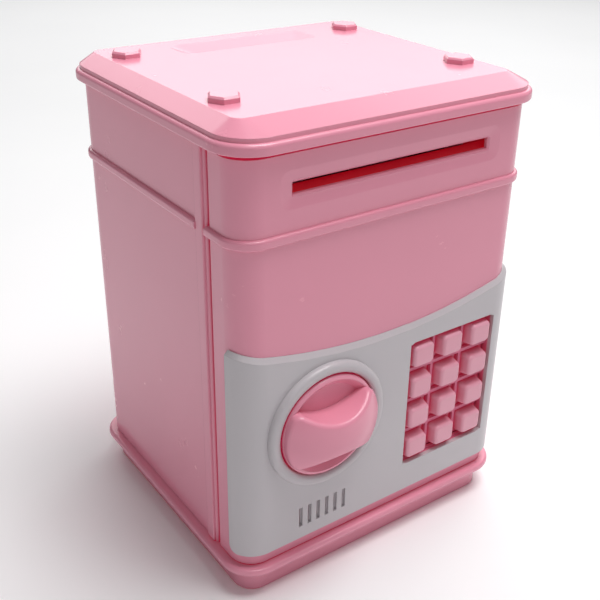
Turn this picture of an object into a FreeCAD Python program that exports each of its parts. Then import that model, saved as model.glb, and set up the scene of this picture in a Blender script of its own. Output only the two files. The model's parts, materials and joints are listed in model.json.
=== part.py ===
# Toy safe coin bank: a two-part moulded cabinet with a hinged electronic door.
# Millimetres, +Z up, origin on the ground under the middle of the cabinet, front towards -Y.
import FreeCAD, Part
import math
import os
import Sketcher

V = FreeCAD.Vector

# Driving dimensions: alias, value, what it is.
SIZES = (
    ("body_w", 130.0, "cabinet width"),
    ("body_d", 120.0, "cabinet depth"),
    ("corner_r", 10.0, "upright corner radius"),
    ("wall", 2.6, "moulded wall thickness"),
    ("plinth_in", 1.5, "plinth set in from the cabinet side"),
    ("plinth_h", 10.7, "plinth height"),
    ("foot_out", 3.7, "base flange overhang"),
    ("floor_z", 13.8, "top of the base flange"),
    ("foot_rad", 8.0, "radius of the middle foot under the floor"),
    ("shell_top", 178.3, "top of the rear shell"),
    ("seam_y", -40.3, "front edge of the rear shell"),
    ("seam_gap", 1.0, "gap between door and rear shell"),
    ("door_z", 14.3, "bottom of the door"),
    ("door_top", 176.6, "top of the door"),
    ("belt_z", 148.0, "centre height of the belt moulding"),
    ("belt_h", 3.6, "belt moulding height"),
    ("belt_out", 1.4, "belt moulding overhang"),
    ("band_w", 6.0, "flat band beside the door gap"),
    ("band_out", 0.9, "flat band thickness"),
    ("lid_out", 3.66, "lid flange overhang"),
    ("lid_r", 15.0, "lid flange corner radius"),
    ("lid_t", 4.1, "lid flange thickness"),
    ("spigot_h", 1.2, "locating rim below the lid"),
    ("riser_out", 2.1, "lid riser overhang"),
    ("riser_h", 1.5, "lid riser height"),
    ("bevel_h", 3.8, "lid bevel height"),
    ("plate_x", 60.0, "half width of the flat top plate"),
    ("plate_front", -52.0, "front edge of the top plate"),
    ("plate_back", 56.0, "rear edge of the top plate"),
    ("plate_r", 4.0, "corner radius of the top plate"),
    ("boss_h", 2.3, "hexagon boss height"),
    ("boss_af", 10.4, "hexagon boss width across flats"),
    ("boss_x", 52.0, "hexagon boss centre in X"),
    ("boss_front", -31.6, "front hexagon bosses in Y"),
    ("boss_back", 40.7, "rear hexagon bosses in Y"),
    ("coin_w", 48.0, "coin slot length"),
    ("coin_t", 4.4, "coin slot width"),
    ("coin_y", 35.5, "coin slot centre in Y"),
    ("dish_x", 31.5, "half length of the coin dish"),
    ("dish_front", 31.9, "front edge of the coin dish"),
    ("dish_back", 47.5, "rear edge of the coin dish"),
    ("dish_deep", 1.8, "depth of the coin dish"),
    ("bill_w", 87.0, "banknote slot length"),
    ("bill_t", 4.2, "banknote slot height"),
    ("bill_z", 164.3, "banknote slot centre height"),
    ("hinge_x", 61.9, "hinge line in X"),
    ("hinge_y", -44.6, "hinge line in Y"),
    ("pin_rad", 1.2, "hinge pin radius"),
    ("pin_len", 12.0, "hinge pin length"),
    ("pin_sink", 6.0, "depth of the lower hinge pin in the base"),
    ("run_gap", 0.06, "radial running clearance"),
    ("panel_t", 2.0, "face panel thickness"),
    ("panel_z", 19.8, "bottom of the face panel"),
    ("panel_dip", 98.8, "lowest point of the panel top edge"),
    ("panel_arc", 225.0, "radius of the panel top edge"),
    ("panel_side_y", -52.5, "rear end of the wrapped panel"),
    ("panel_bevel", 1.9, "bevel along the panel top edge"),
    ("dial_x", -29.5, "knob axis in X"),
    ("dial_z", 70.1, "knob axis in Z"),
    ("dial_rad", 20.9, "knob disc radius"),
    ("ring_in", 21.4, "ring inner radius"),
    ("ring_out", 25.9, "ring outer radius"),
    ("ring_h", 2.8, "ring height above the panel"),
    ("grip_h", 10.4, "grip height above the disc rim"),
    ("grip_mid", 7.0, "grip half width at the waist"),
    ("grip_end", 13.0, "grip half width at the ends"),
    ("dome_r", 30.0, "radius of the domed front of the grip"),
    ("horn_r", 3.0, "grip horn corner radius"),
    ("crest_r", 1.9, "grip edge radius"),
    ("shaft_rad", 5.0, "knob shaft radius"),
    ("key_w", 11.6, "key width"),
    ("key_h", 10.6, "key height"),
    ("key_dx", 15.3, "key pitch in X"),
    ("key_dz", 14.5, "key pitch in Z"),
    ("key_x", 32.9, "middle column of keys"),
    ("key_z", 61.7, "centre of the keypad in Z"),
    ("key_gap", 1.2, "gap round a key in the recess floor"),
    ("key_flange", 1.5, "retaining flange of a key beyond its cap"),
    ("tub_w", 46.4, "keypad recess width"),
    ("tub_h", 59.6, "keypad recess height"),
    ("tub_deep", 3.0, "keypad recess depth"),
    ("cam_rad", 12.0, "lock disc radius"),
    ("arm_reach", 30.5, "latch arm reach"),
    ("gear_module", 0.5, "gear module"),
    ("feed_y", -50.3, "feed roller axis in Y"),
    ("feed_rad", 4.5, "feed roller radius"),
    ("axle_rad", 1.5, "feed axle radius"),
    ("pinch_rad", 3.0, "pinch roller radius"),
    ("nip_gap", 0.3, "gap between the rollers"),
    ("cell_rad", 7.1, "battery radius"),
    ("cell_len", 50.0, "battery length"),
    ("cell_x", -8.5, "flat end of the batteries"),
    ("cell_y", -49.4, "battery axis in Y"),
    ("bay_left", -14.0, "left side of the battery bay"),
    ("bay_right", 47.0, "right side of the battery bay"),
    ("bay_low", 102.0, "bottom of the battery bay"),
    ("bay_high", 149.4, "top of the battery bay"),
    ("bay_wall", 1.4, "battery bay wall"),
    ("bay_deep", 13.2, "battery bay depth in front of the cover"),
    ("cover_front", 43.4, "front face of the door back cover, measured towards the front"),
    ("cover_t", 2.0, "door back cover thickness"),
    ("board_back", 51.7, "rear face of the circuit board, measured towards the front"),
    ("board_t", 1.6, "circuit board thickness"),
    ("mat_t", 1.1, "keypad mat thickness"),
    ("slide_y", -47.0, "lock plunger axis in Y"),
    ("slide_rad", 1.9, "lock plunger radius"),
    ("coil_w", 16.0, "solenoid body length"),
    ("coil_h", 14.0, "solenoid body height"),
)

doc = FreeCAD.newDocument("coin_bank")
sheet = doc.addObject("Spreadsheet::Sheet", "sizes")
for row, (alias, value, meaning) in enumerate(SIZES, start=1):
    sheet.set(f"A{row}", meaning)
    sheet.set(f"B{row}", str(value))
    sheet.setAlias(f"B{row}", alias)
doc.recompute()

nodes = []


def dim(name):
    """A driving dimension read from the sheet."""
    return float(sheet.get(name))


def calc(text):
    """Value of an expression written with sheet aliases."""
    return float(sheet.evalExpression(link(text)))


def link(text):
    """Prefix every alias in an expression with the sheet name."""
    words = []
    word = ""
    for mark in text + " ":
        if mark.isalnum() or mark in "_.":
            word += mark
            continue
        words.append(f"sizes.{word}" if word[:1].isalpha() else word)
        words.append(mark)
        word = ""
    return "".join(words).strip()


def new_body(label):
    """Start a sub-part modelled as a PartDesign body."""
    body = doc.addObject("PartDesign::Body", label)
    body.Label = label
    nodes.append(body)
    return body


def plane_sketch(body, plane, offset="0"):
    """Sketch on one of the body's own origin planes, moved along the plane normal."""
    sketch = body.newObject("Sketcher::SketchObject", "outline")
    origin_plane = [item for item in body.Origin.OriginFeatures if item.Role == plane][0]
    sketch.AttachmentSupport = [(origin_plane, "")]
    sketch.MapMode = "FlatFace"
    sketch.setExpression("AttachmentOffset.Base.z", link(offset))
    return sketch


def hold(sketch, kind, geo, spot, text):
    """Tie one coordinate of a sketch point to an expression."""
    place = sketch.addConstraint(Sketcher.Constraint(kind, -1, 1, geo, spot, calc(text)))
    sketch.setExpression(f"Constraints[{place}]", link(text))


def polygon(sketch, corners):
    """Closed outline of straight lines; corners are pairs of expressions."""
    spots = [V(calc(across), calc(along), 0) for across, along in corners]
    first = sketch.GeometryCount
    count = len(spots)
    for place in range(count):
        sketch.addGeometry(Part.LineSegment(spots[place], spots[(place + 1) % count]))
    for place in range(count):
        sketch.addConstraint(
            Sketcher.Constraint("Coincident", first + place, 2, first + (place + 1) % count, 1))
    for place, (across, along) in enumerate(corners):
        hold(sketch, "DistanceX", first + place, 1, across)
        hold(sketch, "DistanceY", first + place, 1, along)


def box_outline(sketch, left, low, right, high):
    """Rectangle between two corners."""
    polygon(sketch, ((left, low), (right, low), (right, high), (left, high)))


def ring_outline(sketch, across, along, radius):
    """Circle with its centre and radius tied to expressions."""
    place = sketch.addGeometry(Part.Circle(V(calc(across), calc(along), 0), V(0, 0, 1), calc(radius)))
    hold(sketch, "DistanceX", place, 3, across)
    hold(sketch, "DistanceY", place, 3, along)
    size = sketch.addConstraint(Sketcher.Constraint("Radius", place, calc(radius)))
    sketch.setExpression(f"Constraints[{size}]", link(radius))


def soft_box(sketch, half_x, half_y, radius, mid_y="0"):
    """Rectangle with rounded corners, centred in X and on mid_y in Y."""
    wide, deep, rad, middle = calc(half_x), calc(half_y), calc(radius), calc(mid_y)
    first = sketch.GeometryCount
    turns = ((1, 1, 0.0), (-1, 1, 0.5), (-1, -1, 1.0), (1, -1, 1.5))
    for side_x, side_y, start in turns:
        centre = V(side_x * (wide - rad), middle + side_y * (deep - rad), 0)
        round_arc = Part.Circle(centre, V(0, 0, 1), rad)
        sketch.addGeometry(Part.ArcOfCircle(round_arc, start * math.pi, (start + 0.5) * math.pi))
    for place in range(4):
        after = (place + 1) % 4
        tail = sketch.getPoint(first + place, 2)
        head = sketch.getPoint(first + after, 1)
        side = sketch.addGeometry(Part.LineSegment(tail, head))
        sketch.addConstraint(Sketcher.Constraint("Tangent", first + place, 2, side, 1))
        sketch.addConstraint(Sketcher.Constraint("Tangent", side, 2, first + after, 1))
    for place in range(1, 4):
        sketch.addConstraint(Sketcher.Constraint("Equal", first, first + place))
    size = sketch.addConstraint(Sketcher.Constraint("Radius", first, rad))
    sketch.setExpression(f"Constraints[{size}]", link(radius))
    hold(sketch, "DistanceX", first, 3, f"({half_x}) - ({radius})")
    hold(sketch, "DistanceY", first, 3, f"({mid_y}) + ({half_y}) - ({radius})")
    hold(sketch, "DistanceX", first + 2, 3, f"({radius}) - ({half_x})")
    hold(sketch, "DistanceY", first + 2, 3, f"({mid_y}) + ({radius}) - ({half_y})")


def feature(body, kind, sketch, length, **options):
    """Pad or pocket of a sketch by a length expression."""
    made = body.newObject(f"PartDesign::{kind}", kind.lower())
    made.Profile = sketch
    made.setExpression("Length", link(length))
    for name, value in options.items():
        setattr(made, name, value)
    doc.recompute()
    sketch.Visibility = False
    return made


def pad(body, sketch, length, **options):
    return feature(body, "Pad", sketch, length, **options)


def pocket(body, sketch, length, **options):
    return feature(body, "Pocket", sketch, length, **options)


def slab(body, plane, offset, outlines, length, shape=pad, **options):
    """Pad or pocket of one or more rectangles; each outline is left, low, right, high."""
    sketch = plane_sketch(body, plane, offset)
    for outline in outlines:
        box_outline(sketch, *outline)
    return shape(body, sketch, length, **options)


def discs(body, plane, offset, spots, radius, length, shape=pad, **options):
    """Pad or pocket of one or more circles of one radius; each spot is across, along."""
    sketch = plane_sketch(body, plane, offset)
    for across, along in spots:
        ring_outline(sketch, str(across), str(along), radius)
    return shape(body, sketch, length, **options)


def loft(body, kind, first, last):
    """Ruled solid added or cut between two sketches."""
    made = body.newObject(f"PartDesign::{kind}", kind.lower())
    made.Profile = first
    made.Sections = [(last, "")]
    made.Ruled = True
    doc.recompute()
    first.Visibility = False
    last.Visibility = False
    return made


def dress(body, kind, chosen, size):
    """Fillet or chamfer of the body's edges picked by a test."""
    base = body.Tip
    names = [f"Edge{place + 1}" for place, edge in enumerate(base.Shape.Edges) if chosen(edge)]
    made = body.newObject(f"PartDesign::{kind}", kind.lower())
    made.Base = (base, names)
    made.setExpression("Radius" if kind == "Fillet" else "Size", link(size))
    doc.recompute()
    return made


def add_shape(label, build):
    """Sub-part whose form is a formula: the shape is made by a function that reads the sheet."""
    item = doc.addObject("Part::Feature", label)
    item.Label = label
    item.Shape = build()
    item.Placement = FreeCAD.Placement()
    nodes.append(item)
    return item


def block(x_a, x_b, y_a, y_b, z_a, z_b):
    """Box between two corners."""
    return Part.makeBox(x_b - x_a, y_b - y_a, z_b - z_a, V(x_a, y_a, z_a))


def rod_x(x_a, x_b, y, z, radius):
    return Part.makeCylinder(radius, x_b - x_a, V(x_a, y, z), V(1, 0, 0))


def rod_y(y_a, y_b, x, z, radius):
    return Part.makeCylinder(radius, y_b - y_a, V(x, y_a, z), V(0, 1, 0))


def rod_z(z_a, z_b, x, y, radius):
    return Part.makeCylinder(radius, z_b - z_a, V(x, y, z_a), V(0, 0, 1))


def at_height(z):
    """Edge test: the whole edge lies at one height."""
    return lambda edge: all(abs(spot.Z - z) < 1e-4 for spot in edge.Vertexes) and level(edge)


def level(edge):
    """Edge test: the edge stays at one height along its length."""
    return edge.BoundBox.ZLength < 1e-4


# ---- cabinet -------------------------------------------------------------------------------

LID_TOP = "shell_top + lid_t + riser_h + bevel_h"
POST_SPOTS = ((-55.0, 50.0), (55.0, 50.0), (-55.0, -31.0), (55.0, -31.0))
POST_RAD = 4.5
THREAD_HOLE = 1.35
SCREW_HOLE = 1.6


def make_base():
    body = new_body("base")
    sketch = plane_sketch(body, "XY_Plane")
    soft_box(sketch, "body_w/2 - plinth_in", "body_d/2 - plinth_in", "corner_r - plinth_in")
    pad(body, sketch, "plinth_h")
    sketch = plane_sketch(body, "XY_Plane", "plinth_h")
    soft_box(sketch, "body_w/2 + foot_out", "body_d/2 + foot_out", "corner_r + foot_out")
    pad(body, sketch, "floor_z - plinth_h")
    for height in ("floor_z", "plinth_h"):
        on_rim = at_height(dim(height))
        dress(body, "Fillet", lambda edge: on_rim(edge) and outside(edge), "1.3")
    sketch = plane_sketch(body, "XY_Plane")
    soft_box(sketch, "body_w/2 - plinth_in - wall", "body_d/2 - plinth_in - wall",
             "corner_r - plinth_in - wall")
    pocket(body, sketch, "floor_z - wall", Reversed=True)
    under = "floor_z - wall"
    discs(body, "XY_Plane", under, POST_SPOTS, str(POST_RAD), "7", Reversed=True)
    discs(body, "XY_Plane", under, [("hinge_x - 1.2", "hinge_y")], "3.4", "7", Reversed=True)
    discs(body, "XY_Plane", under, [(0, 0)], "foot_rad", under, Reversed=True)
    discs(body, "XY_Plane", "floor_z", POST_SPOTS, str(SCREW_HOLE), "20", pocket)
    discs(body, "XY_Plane", "floor_z", [("hinge_x", "hinge_y")], "pin_rad", "pin_sink", pocket)


def outside(edge):
    """Edge test: part of the edge lies beyond the cabinet walls."""
    bound = edge.BoundBox
    far_x = max(bound.XMax, -bound.XMin)
    far_y = max(bound.YMax, -bound.YMin)
    return far_x > dim("body_w") / 2 or far_y > dim("body_d") / 2


def wrapped_profile(sketch, out, inner, y_front_left, y_front_right):
    """U outline round the back of the cabinet: open towards the front, rounded rear corners."""
    half_w, back, rad = calc("body_w/2"), calc("body_d/2"), calc("corner_r")
    shift_out, shift_in = calc(out), calc(inner)
    wide, deep, big = half_w + shift_out, back + shift_out, rad + shift_out
    narrow, shallow, small = half_w - shift_in, back - shift_in, rad - shift_in
    loop = (
        Part.LineSegment(V(wide, y_front_right, 0), V(wide, deep - big, 0)),
        quarter(wide - big, deep - big, big, 0),
        Part.LineSegment(V(wide - big, deep, 0), V(big - wide, deep, 0)),
        quarter(big - wide, deep - big, big, 1),
        Part.LineSegment(V(-wide, deep - big, 0), V(-wide, y_front_left, 0)),
        Part.LineSegment(V(-wide, y_front_left, 0), V(-narrow, y_front_left, 0)),
        Part.LineSegment(V(-narrow, y_front_left, 0), V(-narrow, shallow - small, 0)),
        quarter(small - narrow, shallow - small, small, 1),
        Part.LineSegment(V(small - narrow, shallow, 0), V(narrow - small, shallow, 0)),
        quarter(narrow - small, shallow - small, small, 0),
        Part.LineSegment(V(narrow, shallow - small, 0), V(narrow, y_front_right, 0)),
        Part.LineSegment(V(narrow, y_front_right, 0), V(wide, y_front_right, 0)),
    )
    for curve in loop:
        sketch.addGeometry(curve)
    for place in range(sketch.GeometryCount):
        sketch.addConstraint(Sketcher.Constraint("Block", place))


def quarter(x, y, radius, quadrant):
    """Quarter arc about a point; quadrant 0 lies between +X and +Y."""
    start = quadrant * math.pi / 2
    return Part.ArcOfCircle(Part.Circle(V(x, y, 0), V(0, 0, 1), radius), start, start + math.pi / 2)


def make_rear_shell():
    body = new_body("rear_shell")
    seam = dim("seam_y")
    sketch = plane_sketch(body, "XY_Plane", "floor_z")
    wrapped_profile(sketch, "0", "wall", seam, seam)
    pad(body, sketch, "shell_top - floor_z")
    soft_edge = dim("body_w") / 2
    dress(body, "Fillet",
          lambda edge: upright(edge) and abs(edge.CenterOfMass.y - seam) < 1e-3
          and abs(abs(edge.CenterOfMass.x) - soft_edge) < 1e-3, "0.9")
    sketch = plane_sketch(body, "XY_Plane", "belt_z - belt_h/2")
    belt_start = seam + dim("band_w")
    wrapped_profile(sketch, "belt_out", "1", belt_start, belt_start)
    pad(body, sketch, "belt_h")
    belt_edge = soft_edge + dim("belt_out")
    dress(body, "Fillet", lambda edge: belt_rim(edge, belt_edge), "1.1")
    sketch = plane_sketch(body, "XY_Plane", "floor_z + 0.6")
    for side in (-1, 1):
        face = f"{side}*body_w/2"
        box_outline(sketch, face if side > 0 else f"{face} - band_out", "seam_y + 1.2",
                    f"{face} + band_out" if side > 0 else face, "seam_y + band_w")
    pad(body, sketch, "shell_top - floor_z - 1.2")
    outer = soft_edge + dim("band_out")
    dress(body, "Fillet",
          lambda edge: upright(edge) and abs(abs(edge.CenterOfMass.x) - outer) < 1e-3
          and edge.CenterOfMass.y < seam + 2, "0.6")
    add_posts(body)
    sketch = plane_sketch(body, "XY_Plane", "dial_z - 8")
    box_outline(sketch, "wall/2 - body_w/2", "seam_y", "8.5 - body_w/2", "seam_y + 2.4")
    pad(body, sketch, "16")


def add_posts(body):
    """Screw posts in the corners of the rear shell, short ones at the foot and at the top."""
    for low, length, hole in (("floor_z", "12", THREAD_HOLE), ("shell_top - 12", "12", SCREW_HOLE)):
        sketch = plane_sketch(body, "XY_Plane", low)
        for x, y in POST_SPOTS:
            ring_outline(sketch, str(x), str(y), str(POST_RAD))
        pad(body, sketch, length)
        sketch = plane_sketch(body, "XY_Plane", low)
        for x, y in POST_SPOTS:
            reach = 4.0 if x > 0 else -4.0
            side = "wall/2" if x > 0 else "-wall/2"
            inner, outer = str(x + reach), f"{math.copysign(1, x)}*body_w/2 - ({side})"
            left, right = (inner, outer) if x > 0 else (outer, inner)
            box_outline(sketch, left, str(y - 1.2), right, str(y + 1.2))
        pad(body, sketch, "8.5")
        sketch = plane_sketch(body, "XY_Plane", low)
        for x, y in POST_SPOTS:
            ring_outline(sketch, str(x), str(y), str(hole))
        pocket(body, sketch, length, Reversed=True)


def upright(edge):
    """Edge test: straight and vertical."""
    return abs(edge.tangentAt(edge.FirstParameter).z) > 0.999


def belt_rim(edge, half_width):
    """Outer rim edges of the belt moulding."""
    half_h = dim("belt_h") / 2
    if not level(edge) or abs(abs(edge.CenterOfMass.z - dim("belt_z")) - half_h) > 1e-3:
        return False
    bound = edge.BoundBox
    far_y = half_width - (dim("body_w") - dim("body_d")) / 2
    on_side = max(abs(bound.XMin), abs(bound.XMax)) > half_width - 1e-3 and bound.XLength < 1e-3
    on_end = max(abs(bound.YMin), abs(bound.YMax)) > far_y - 1e-3 and bound.YLength < 1e-3
    on_corner = edge.Curve.TypeId == "Part::GeomCircle" and edge.Curve.Radius > dim("corner_r") + 0.5
    return on_side or on_end or on_corner


def make_roof_cap():
    body = new_body("roof_cap")
    sketch = plane_sketch(body, "XY_Plane", "shell_top")
    soft_box(sketch, "body_w/2 + lid_out", "body_d/2 + lid_out", "lid_r")
    pad(body, sketch, "lid_t")
    dress(body, "Fillet", at_height(calc("shell_top + lid_t")), "1.5")
    dress(body, "Fillet", at_height(dim("shell_top")), "0.7")
    riser = ("body_w/2 + riser_out", "body_d/2 + riser_out", "lid_r - 1.2")
    sketch = plane_sketch(body, "XY_Plane", "shell_top + lid_t - 0.5")
    soft_box(sketch, *riser)
    pad(body, sketch, "riser_h + 0.5")
    foot = plane_sketch(body, "XY_Plane", f"{LID_TOP} - bevel_h")
    soft_box(foot, *riser)
    plate = plane_sketch(body, "XY_Plane", LID_TOP)
    soft_box(plate, "plate_x", "(plate_back - plate_front)/2", "plate_r", "(plate_back + plate_front)/2")
    loft(body, "AdditiveLoft", foot, plate)
    sketch = plane_sketch(body, "XY_Plane", "shell_top")
    soft_box(sketch, "body_w/2 - 7", "body_d/2 - 7", "6")
    pocket(body, sketch, f"{LID_TOP} - shell_top - wall", Reversed=True)
    sketch = plane_sketch(body, "XY_Plane", "shell_top")
    soft_box(sketch, "body_w/2 - wall - 0.2", "body_d/2 - wall - 0.2", "corner_r - wall - 0.2")
    soft_box(sketch, "body_w/2 - 2*wall - 0.2", "body_d/2 - 2*wall - 0.2", "corner_r - 2*wall - 0.2")
    pad(body, sketch, "spigot_h", Reversed=True)
    add_roof_details(body)


def add_roof_details(body):
    """Hexagon bosses, coin dish and slot, posts for the screws and the upper hinge pin."""
    sketch = plane_sketch(body, "XY_Plane", LID_TOP)
    for side in (-1, 1):
        for along in ("boss_front", "boss_back"):
            hexagon(sketch, f"{side}*boss_x", along)
    pad(body, sketch, "boss_h")
    dress(body, "Chamfer", at_height(calc(f"{LID_TOP} + boss_h")), "0.7")
    ceiling = f"{LID_TOP} - wall"
    slab(body, "XY_Plane", ceiling, [("-dish_x - 2", "dish_front - 3", "dish_x + 2", "dish_back - 2")],
         "2", Reversed=True)
    rim = plane_sketch(body, "XY_Plane", LID_TOP)
    soft_box(rim, "dish_x", "(dish_back - dish_front)/2", "4", "(dish_back + dish_front)/2")
    bed = plane_sketch(body, "XY_Plane", f"{LID_TOP} - dish_deep")
    soft_box(bed, "coin_w/2 + 1.2", "coin_t/2 + 0.8", "1.2", "coin_y")
    loft(body, "SubtractiveLoft", rim, bed)
    slab(body, "XY_Plane", LID_TOP, [("-coin_w/2", "coin_y - coin_t/2", "coin_w/2", "coin_y + coin_t/2")],
         "8", pocket)
    discs(body, "XY_Plane", ceiling, POST_SPOTS, str(POST_RAD - 0.4), f"{ceiling} - shell_top", Reversed=True)
    discs(body, "XY_Plane", "shell_top", POST_SPOTS, str(THREAD_HOLE), "5", pocket, Reversed=True)
    below = "shell_top - spigot_h"
    discs(body, "XY_Plane", below, [("hinge_x - 0.5", "hinge_y")], "3", "spigot_h + 3.4")
    discs(body, "XY_Plane", below, [("hinge_x", "hinge_y")], "pin_rad", "spigot_h + 1.9", pocket, Reversed=True)


def hexagon(sketch, across, along):
    """Hexagon with two flats facing front and back."""
    flat = "boss_af/2"
    point = f"boss_af/{2 * math.cos(math.pi / 6)}"
    corners = ((f"{across} + {point}", along), (f"{across} + {point}/2", f"{along} + {flat}"),
               (f"{across} - {point}/2", f"{along} + {flat}"), (f"{across} - {point}", along),
               (f"{across} - {point}/2", f"{along} - {flat}"), (f"{across} + {point}/2", f"{along} - {flat}"))
    polygon(sketch, corners)


def make_hinge_pins():
    feet = {"hinge_pin_lower": "floor_z - pin_sink", "hinge_pin_upper": "shell_top + 1.9 - pin_len"}
    for label, low in feet.items():
        body = new_body(label)
        discs(body, "XY_Plane", low, [("hinge_x", "hinge_y")], "pin_rad", "pin_len")
        dress(body, "Chamfer", level, "0.3")


def screw(tip, axis, length, head_rad=2.8, radius=1.45):
    """Pan-head screw: tip of the shank, direction from tip to head, shank length."""
    head_h = 2.0
    half = ((0, 0), (radius * 0.3, 0), (radius, radius * 0.8), (radius, length), (head_rad, length),
            (head_rad, length + head_h * 0.45), (head_rad * 0.6, length + head_h), (0, length + head_h))
    outline = Part.makePolygon([V(x, 0, z) for x, z in half] + [V(0, 0, 0)])
    solid = Part.Face(outline).revolve(V(0, 0, 0), V(0, 0, 1), 360)
    for wide, deep in ((3.0, 0.7), (0.7, 3.0)):
        slot = Part.makeBox(wide, deep, 1.2, V(-wide / 2, -deep / 2, length + head_h - 1.1))
        solid = solid.cut(slot)
    solid.Placement = FreeCAD.Placement(V(*tip), FreeCAD.Rotation(V(0, 0, 1), V(*axis)))
    return solid


def make_cabinet_screws():
    seat = dim("shell_top") + 4.6
    post_foot = dim("shell_top") - 12.0
    groups = {"base_screws": (19.0, 14.8), "roof_screws": (seat, seat - post_foot)}
    for label, (tip_z, length) in groups.items():
        add_shape(label, lambda: Part.makeCompound(
            [screw((x, y, tip_z), (0, 0, -1), length) for x, y in POST_SPOTS]))


# ---- door ----------------------------------------------------------------------------------

FRONT_Y = -57.4
COVER_Y = -43.4
COVER_POSTS = ((-57.0, 22.0), (-57.0, 105.0), (-57.0, 153.0), (52.0, 153.0), (52.0, 106.0), (52.0, 20.5))
BOARD_POSTS = ((12.0, 27.5), (52.0, 27.5), (12.0, 95.5), (52.0, 95.5))
FRAME_POSTS = ((-36.0, 156.0), (36.0, 156.0))
FRAME_FRONT = -56.2
SLIT = 0.3
SLIT_Z = (26.0, 34.0)


def front_profile(out, inner, y_left, y_right):
    """Closed face: U outline round the front of the cabinet with rounded front corners."""
    half_w, front, rad = dim("body_w") / 2, -dim("body_d") / 2, dim("corner_r")
    wide, deep, big = half_w + out, front - out, rad + out
    narrow, shallow, small = half_w - inner, front + inner, rad - inner
    edges = [
        Part.LineSegment(V(-wide, y_left, 0), V(-wide, deep + big, 0)),
        arc_from(big - wide, deep + big, big, 180, 270),
        Part.LineSegment(V(big - wide, deep, 0), V(wide - big, deep, 0)),
        arc_from(wide - big, deep + big, big, 270, 360),
        Part.LineSegment(V(wide, deep + big, 0), V(wide, y_right, 0)),
        Part.LineSegment(V(wide, y_right, 0), V(narrow, y_right, 0)),
        Part.LineSegment(V(narrow, y_right, 0), V(narrow, shallow + small, 0)),
        arc_from(narrow - small, shallow + small, small, 270, 360),
        Part.LineSegment(V(narrow - small, shallow, 0), V(small - narrow, shallow, 0)),
        arc_from(small - narrow, shallow + small, small, 180, 270),
        Part.LineSegment(V(-narrow, shallow + small, 0), V(-narrow, y_left, 0)),
        Part.LineSegment(V(-narrow, y_left, 0), V(-wide, y_left, 0)),
    ]
    wire = Part.Wire(Part.__sortEdges__([edge.toShape() for edge in edges]))
    return Part.Face(wire)


def arc_from(x, y, radius, start, end):
    """Arc about a point between two angles in degrees."""
    return Part.ArcOfCircle(Part.Circle(V(x, y, 0), V(0, 0, 1), radius), math.radians(start), math.radians(end))


def wrap(out, inner, y_left, y_right, z_a, z_b):
    """Wall of the front U outline between two heights."""
    face = front_profile(out, inner, y_left, y_right)
    face.translate(V(0, 0, z_a))
    return face.extrude(V(0, 0, z_b - z_a))


def front_plate(y_back, z_a, z_b):
    """Solid plate filling the front of the cabinet outline as far back as y_back."""
    half_w, front, rad = dim("body_w") / 2, -dim("body_d") / 2, dim("corner_r")
    plate = block(-half_w, half_w, front, y_back, z_a, z_b)
    corners = [edge for edge in plate.Edges if upright(edge) and abs(edge.CenterOfMass.y - front) < 1e-3]
    return plate.makeFillet(rad, corners)


def build_door_shell():
    rear = dim("seam_y") - dim("seam_gap")
    wall = dim("wall")
    low, top = dim("door_z"), dim("door_top")
    shell = wrap(0, wall, rear, rear, low, top)
    shell = shell.fuse([front_plate(rear, low, low + wall), front_plate(rear, top - wall, top)])
    shell = shell.removeSplitter()
    half_w = dim("body_w") / 2
    hinge_edges = [edge for edge in shell.Edges
                   if upright(edge) and abs(abs(edge.CenterOfMass.x) - half_w) < 1e-3
                   and abs(edge.CenterOfMass.y - rear) < 1e-3]
    shell = shell.makeFillet(1.6, hinge_edges)
    belt = wrap(dim("belt_out"), 1.0, rear + 0.6, rear + 0.6, dim("belt_z") - dim("belt_h") / 2,
                dim("belt_z") + dim("belt_h") / 2)
    belt = belt.cut(block(half_w - 6, half_w + 4, rear - 10.0, rear + 2, 140, 156))
    belt = belt.makeFillet(1.1, [edge for edge in belt.Edges
                                 if belt_rim(edge, half_w + dim("belt_out"))])
    lugs = [rod_z(low, low + 12, dim("hinge_x"), dim("hinge_y"), 2.9),
            rod_z(top - 12, top, dim("hinge_x"), dim("hinge_y"), 2.9)]
    posts = [rod_y(FRONT_Y - 1, COVER_Y, x, z, 2.9) for x, z in COVER_POSTS]
    board_front = -calc("board_back + board_t")
    posts += [rod_y(FRONT_Y - 1, board_front, x, z, 2.6) for x, z in BOARD_POSTS]
    posts += [rod_y(FRONT_Y - 1, FRAME_FRONT, x, z, 2.9) for x, z in FRAME_POSTS]
    posts.append(rod_y(FRONT_Y - 1, -50.6, dim("dial_x"), dim("dial_z"), 8.0))
    shell = shell.fuse([belt] + lugs + posts)
    return shell.cut(door_openings()).removeSplitter()


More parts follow.
